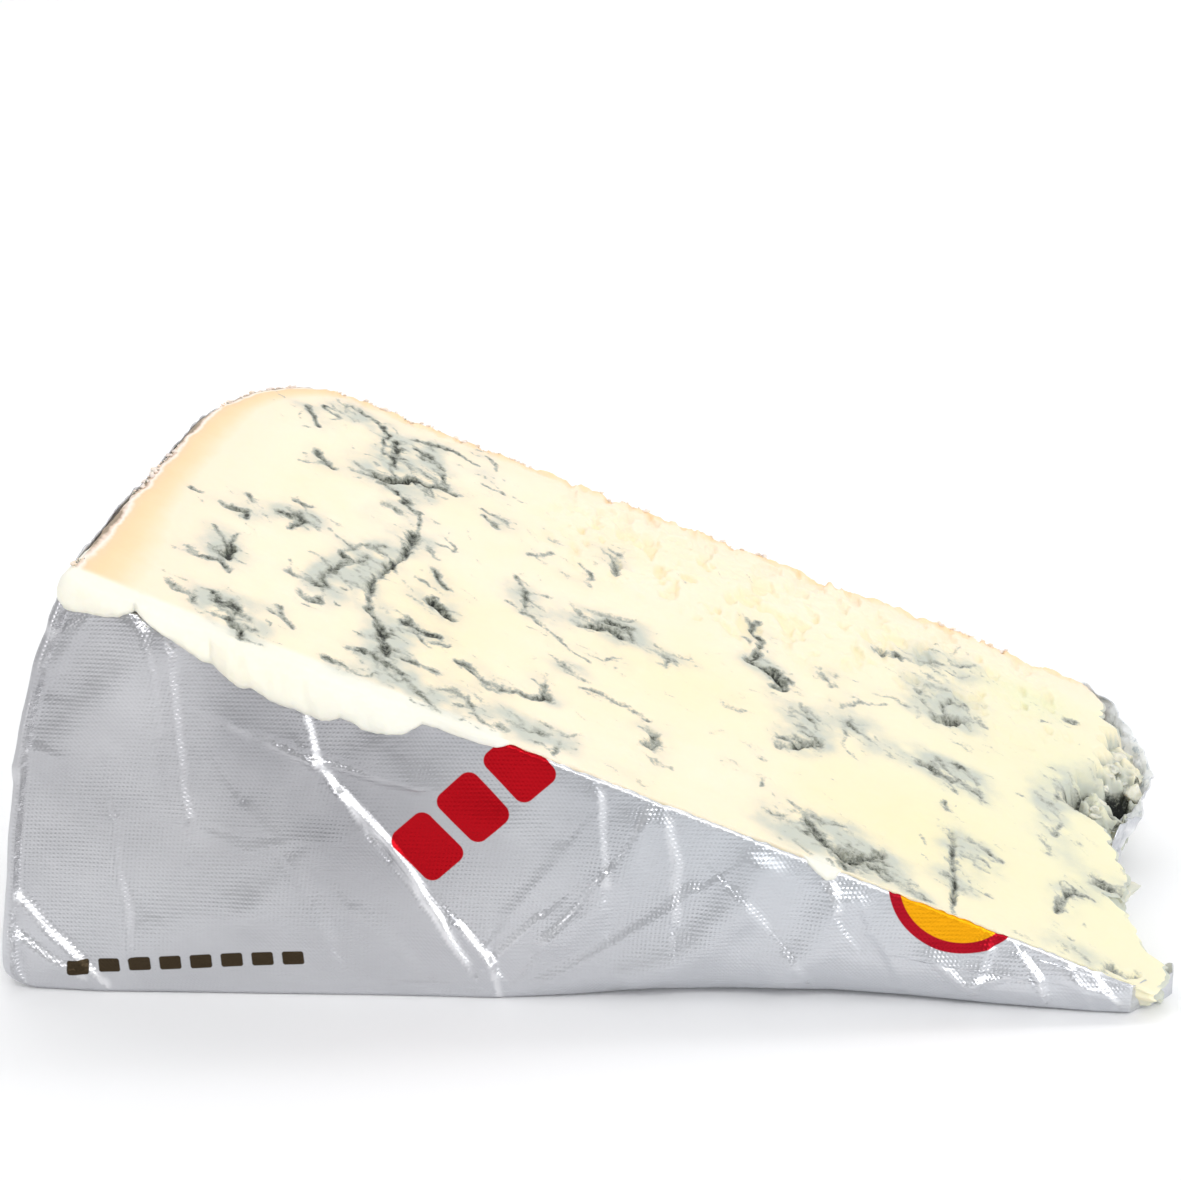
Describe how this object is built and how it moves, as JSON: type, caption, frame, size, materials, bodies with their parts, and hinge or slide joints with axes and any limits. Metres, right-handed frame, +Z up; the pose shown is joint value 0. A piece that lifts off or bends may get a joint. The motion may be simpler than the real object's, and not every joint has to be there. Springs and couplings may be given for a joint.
{
  "type": "gorgonzola wedge",
  "caption": "Wedge of blue-veined cheese lying on one cut side, with foil round its rind and flat sides and its upper cut face bare.",
  "frame": {"origin": "centre of the underside's bounding rectangle, on the surface the wedge lies on", "axes": "+X from the rind to the tip, +Y from the printed flat side to the natural flat side of the half wheel, +Z up"},
  "size_m": [0.1572, 0.083, 0.0671],
  "materials": {
    "cheese": "soft cream paste with grey-green mould veins, moist sheen",
    "foil": "finely embossed wrapping foil, creased, with printed colour fields"
  },
  "bodies": {
    "root": {"cheese": "cheese", "foil_wrap": "foil"}
  },
  "joints": []
}
